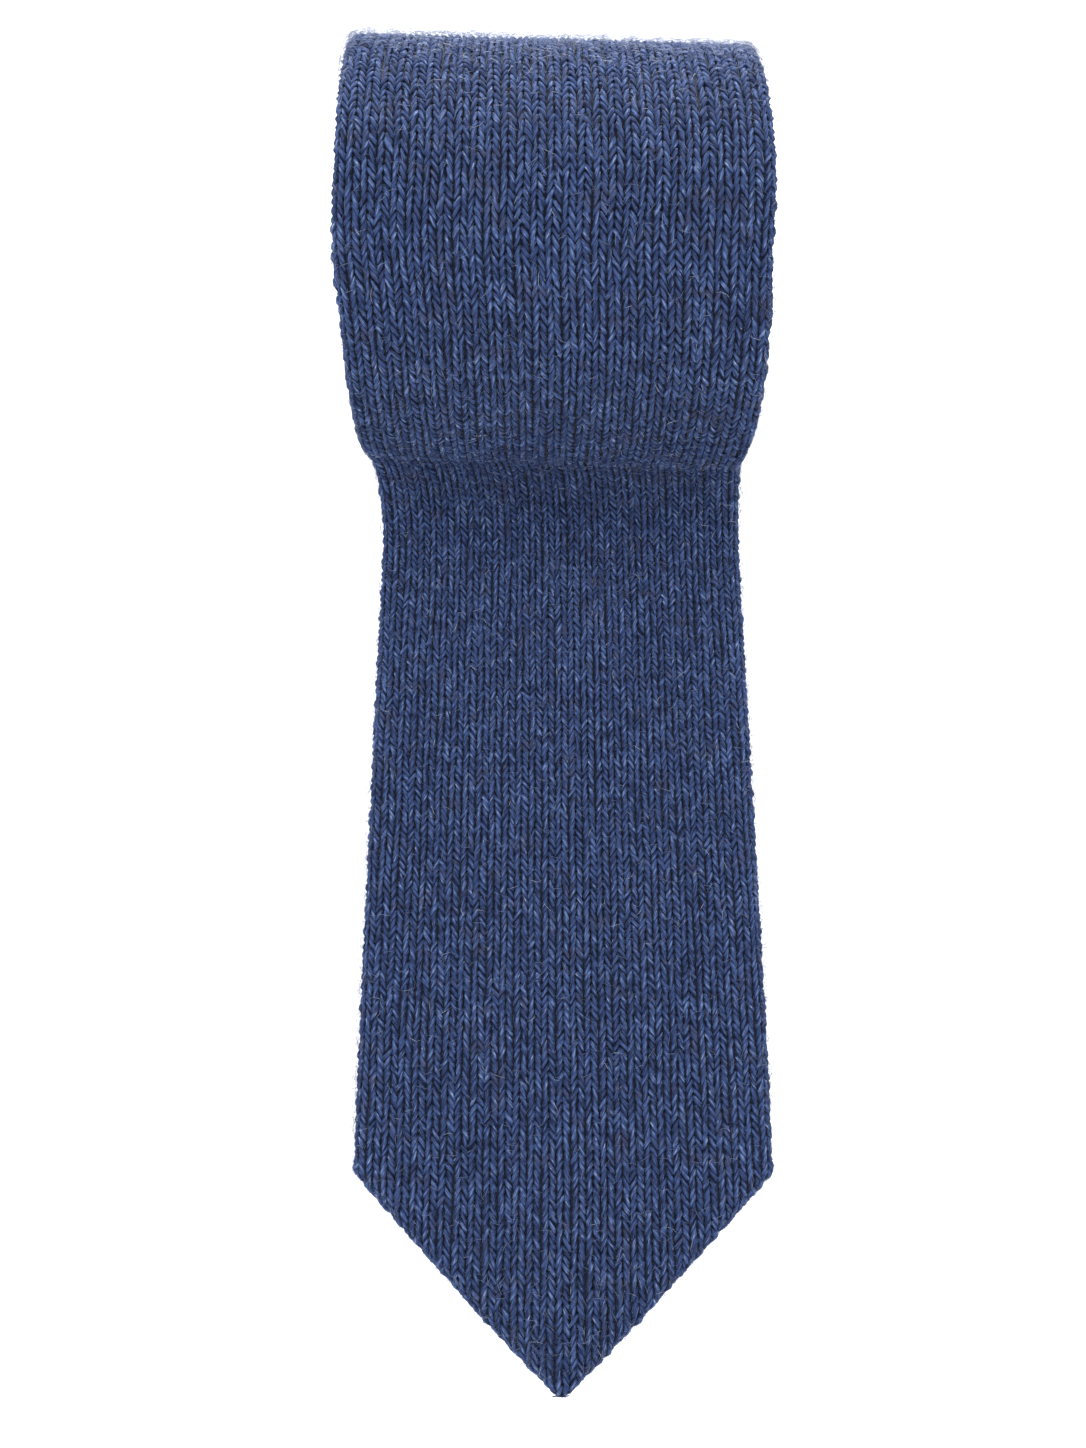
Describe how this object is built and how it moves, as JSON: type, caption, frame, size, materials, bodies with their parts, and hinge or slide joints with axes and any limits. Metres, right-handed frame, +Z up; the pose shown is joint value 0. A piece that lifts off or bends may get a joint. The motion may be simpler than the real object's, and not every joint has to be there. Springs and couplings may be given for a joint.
{
  "type": "rolled knitted cashmere tie",
  "caption": "Knitted necktie rolled up from its narrow end, with its flat pointed blade lying out in front of the roll.",
  "frame": {"origin": "middle of the tie's box, on the surface that it lies on", "axes": "+Z up, +Y from the blade's point towards the roll, +X across the tie"},
  "size_m": [0.0806, 0.2538, 0.0763],
  "materials": {
    "cashmere_knit": "soft brushed wool in a flecked denim blue, knitted in plain stocking stitch"
  },
  "bodies": {
    "root": {"knitted_tie": "cashmere_knit"}
  },
  "joints": []
}
